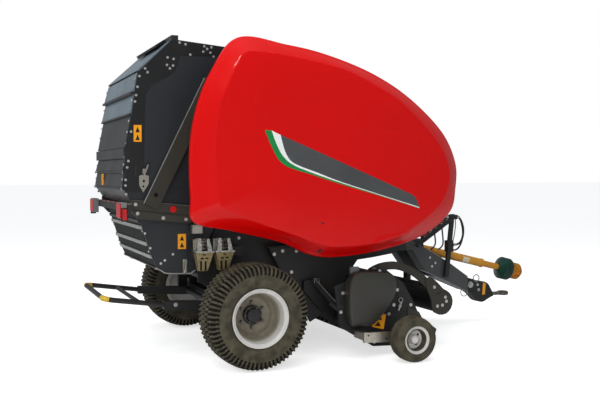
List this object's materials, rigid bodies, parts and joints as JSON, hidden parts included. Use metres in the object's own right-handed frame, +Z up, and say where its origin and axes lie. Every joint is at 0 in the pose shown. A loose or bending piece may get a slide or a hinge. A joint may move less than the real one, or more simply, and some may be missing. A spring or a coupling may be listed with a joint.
{
  "type": "round baler",
  "caption": "Towed variable-chamber round baler with a drop-down pickup, hinged tailgate, gull-wing side covers, drive shaft and parking jack.",
  "frame": {"origin": "on the ground, at the middle of the bounding box from above", "axes": "+X forward towards the towing eye, +Y to the left, +Z up"},
  "size_m": [4.5798, 2.905, 2.697],
  "materials": {
    "chassis_paint": "satin anthracite powder coat",
    "panel_paint": "satin dark grey paint on pressed sheet",
    "cover_red": "gloss red gelcoat on glass fibre",
    "tyre_rubber": "matt tyre rubber",
    "belt_rubber": "matt ribbed belting",
    "hose_rubber": "smooth black hose cover",
    "rim_silver": "silver enamel on steel",
    "zinc": "passivated zinc plating",
    "steel": "worn bright steel",
    "shaft_ochre": "ochre polyethylene shaft guard",
    "black_plastic": "moulded black plastic",
    "lamp_red": "red lens in a black housing"
  },
  "bodies": {
    "chassis": {"main_frame": "chassis_paint", "axle_beam": "chassis_paint", "roof_panel": "panel_paint", "front_panel": "panel_paint", "net_tray": "chassis_paint", "front_belts": "belt_rubber", "drawbar": "chassis_paint", "hitch_head": "chassis_paint", "hitch_ring": "steel", "gearbox": "chassis_paint", "shaft_guard_cone": "black_plastic", "hose_mast": "chassis_paint", "hose_long": "hose_rubber", "hose_short": "hose_rubber", "light_cable": "hose_rubber", "jack_tube": "chassis_paint", "spring_housing_right": "zinc", "spring_housing_left": "zinc"},
    "tailgate": {"tailgate_frame": "panel_paint", "tailgate_skin": "panel_paint", "tailgate_rail_right": "panel_paint", "tailgate_rail_left": "panel_paint", "tailgate_brace_right": "panel_paint", "tailgate_brace_left": "panel_paint", "lamp_bar": "chassis_paint", "lamp_right": "lamp_red", "lamp_left": "lamp_red", "tailgate_belts": "belt_rubber"},
    "pickup": {"pickup_frame": "chassis_paint", "pickup_strippers": "chassis_paint", "pickup_cover_right": "black_plastic", "pickup_cover_left": "black_plastic", "wheel_arm_right": "zinc", "wheel_arm_left": "zinc"},
    "pickup_reel": {"pickup_reel": "chassis_paint"},
    "crop_guard": {"crop_guard": "panel_paint"},
    "crop_roller": {"crop_roller": "black_plastic"},
    "feed_rotor": {"feed_rotor": "steel"},
    "starter_roller": {"starter_roller": "steel"},
    "bale_ramp": {"bale_ramp": "chassis_paint"},
    "jack_leg": {"jack_leg": "zinc"},
    "shaft_outer": {"shaft_tube_outer": "shaft_ochre"},
    "shaft_inner": {"shaft_tube_inner": "shaft_ochre"},
    "net_lid": {"net_lid": "panel_paint"},
    "wheel_right": {"tyre_right": "tyre_rubber", "rim_right": "rim_silver"},
    "gauge_wheel_right": {"gauge_tyre_right": "tyre_rubber", "gauge_rim_right": "rim_silver"},
    "side_cover_right": {"side_cover_right": "cover_red"},
    "ram_barrel_right": {"ram_barrel_right": "chassis_paint"},
    "ram_rod_right": {"ram_rod_right": "steel"},
    "wheel_left": {"tyre_left": "tyre_rubber", "rim_left": "rim_silver"},
    "gauge_wheel_left": {"gauge_tyre_left": "tyre_rubber", "gauge_rim_left": "rim_silver"},
    "side_cover_left": {"side_cover_left": "cover_red"},
    "ram_barrel_left": {"ram_barrel_left": "chassis_paint"},
    "ram_rod_left": {"ram_rod_left": "steel"}
  },
  "joints": [
    {"name": "tailgate_hinge", "type": "hinge", "parent": "chassis", "child": "tailgate", "pos_m": [-1.228, 0, 2.5], "axis": [0, 1, 0], "range_deg": [0, 62]},
    {"name": "wheel_right_spin", "type": "hinge", "parent": "chassis", "child": "wheel_right", "pos_m": [-1.178, -1.06, 0.425], "axis": [0, 1, 0], "continuous": true},
    {"name": "side_cover_right_hinge", "type": "hinge", "parent": "chassis", "child": "side_cover_right", "pos_m": [-1.178, -0.95, 2.5], "axis": [-1, 0, 0], "range_deg": [0, 60]},
    {"name": "wheel_left_spin", "type": "hinge", "parent": "chassis", "child": "wheel_left", "pos_m": [-1.178, 1.06, 0.425], "axis": [0, 1, 0], "continuous": true},
    {"name": "side_cover_left_hinge", "type": "hinge", "parent": "chassis", "child": "side_cover_left", "pos_m": [-1.178, 0.95, 2.5], "axis": [1, 0, 0], "range_deg": [0, 60]},
    {"name": "pickup_lift", "type": "hinge", "parent": "chassis", "child": "pickup", "pos_m": [-0.558, 0, 0.6], "axis": [0, -1, 0], "range_deg": [0, 10]},
    {"name": "pickup_reel_spin", "type": "hinge", "parent": "pickup", "child": "pickup_reel", "pos_m": [0.022, 0, 0.38], "axis": [0, 1, 0], "continuous": true},
    {"name": "gauge_wheel_right_spin", "type": "hinge", "parent": "pickup", "child": "gauge_wheel_right", "pos_m": [0.122, -1.37, 0.19], "axis": [0, 1, 0], "continuous": true},
    {"name": "gauge_wheel_left_spin", "type": "hinge", "parent": "pickup", "child": "gauge_wheel_left", "pos_m": [0.122, 1.37, 0.19], "axis": [0, 1, 0], "continuous": true},
    {"name": "crop_guard_lift", "type": "hinge", "parent": "pickup", "child": "crop_guard", "pos_m": [-0.028, 0, 0.72], "axis": [0, -1, 0], "range_deg": [0, 4]},
    {"name": "crop_roller_spin", "type": "hinge", "parent": "crop_guard", "child": "crop_roller", "pos_m": [0.667, 0, 0.405], "axis": [0, 1, 0], "continuous": true},
    {"name": "feed_rotor_spin", "type": "hinge", "parent": "chassis", "child": "feed_rotor", "pos_m": [-0.558, 0, 0.6], "axis": [0, 1, 0], "continuous": true},
    {"name": "starter_roller_spin", "type": "hinge", "parent": "chassis", "child": "starter_roller", "pos_m": [-0.978, 0, 0.685], "axis": [0, 1, 0], "continuous": true},
    {"name": "bale_ramp_hinge", "type": "hinge", "parent": "chassis", "child": "bale_ramp", "pos_m": [-1.308, 0, 0.44], "axis": [0, 1, 0], "range_deg": [-20, 0], "stiffness_Nm_per_rad": 420, "springref_deg": 34.38},
    {"name": "jack_slide", "type": "slide", "parent": "chassis", "child": "jack_leg", "axis": [0, 0, 1], "range_m": [0, 0.26]},
    {"name": "shaft_swing", "type": "hinge", "parent": "chassis", "child": "shaft_outer", "pos_m": [1.022, 0, 0.804], "axis": [0, -1, 0], "range_deg": [0, 20]},
    {"name": "shaft_telescope", "type": "slide", "parent": "shaft_outer", "child": "shaft_inner", "axis": [0.9715, 0, -0.2371], "range_m": [-0.18, 0.15]},
    {"name": "net_lid_hinge", "type": "hinge", "parent": "chassis", "child": "net_lid", "pos_m": [0.16556, 0, 2.1015], "axis": [0, -1, 0], "range_deg": [0, 70]},
    {"name": "ram_barrel_right_hinge", "type": "hinge", "parent": "chassis", "child": "ram_barrel_right", "pos_m": [-0.728, -0.705, 1.2], "axis": [0, 1, 0], "range_deg": [-2.5, 0.5]},
    {"name": "ram_rod_right_slide", "type": "slide", "parent": "ram_barrel_right", "child": "ram_rod_right", "axis": [-0.6074, 0, 0.7944], "range_m": [0, 0.4901]},
    {"name": "ram_barrel_left_hinge", "type": "hinge", "parent": "chassis", "child": "ram_barrel_left", "pos_m": [-0.728, 0.705, 1.2], "axis": [0, 1, 0], "range_deg": [-2.5, 0.5]},
    {"name": "ram_rod_left_slide", "type": "slide", "parent": "ram_barrel_left", "child": "ram_rod_left", "axis": [-0.6074, 0, 0.7944], "range_m": [0, 0.4901]}
  ],
  "couplings": [
    {"joint": "ram_barrel_right_hinge", "follows": "tailgate_hinge", "ratio": -0.03226},
    {"joint": "ram_rod_right_slide", "follows": "tailgate_hinge", "m_per_rad": 0.4511},
    {"joint": "ram_barrel_left_hinge", "follows": "tailgate_hinge", "ratio": -0.03226},
    {"joint": "ram_rod_left_slide", "follows": "tailgate_hinge", "m_per_rad": 0.4511}
  ]
}
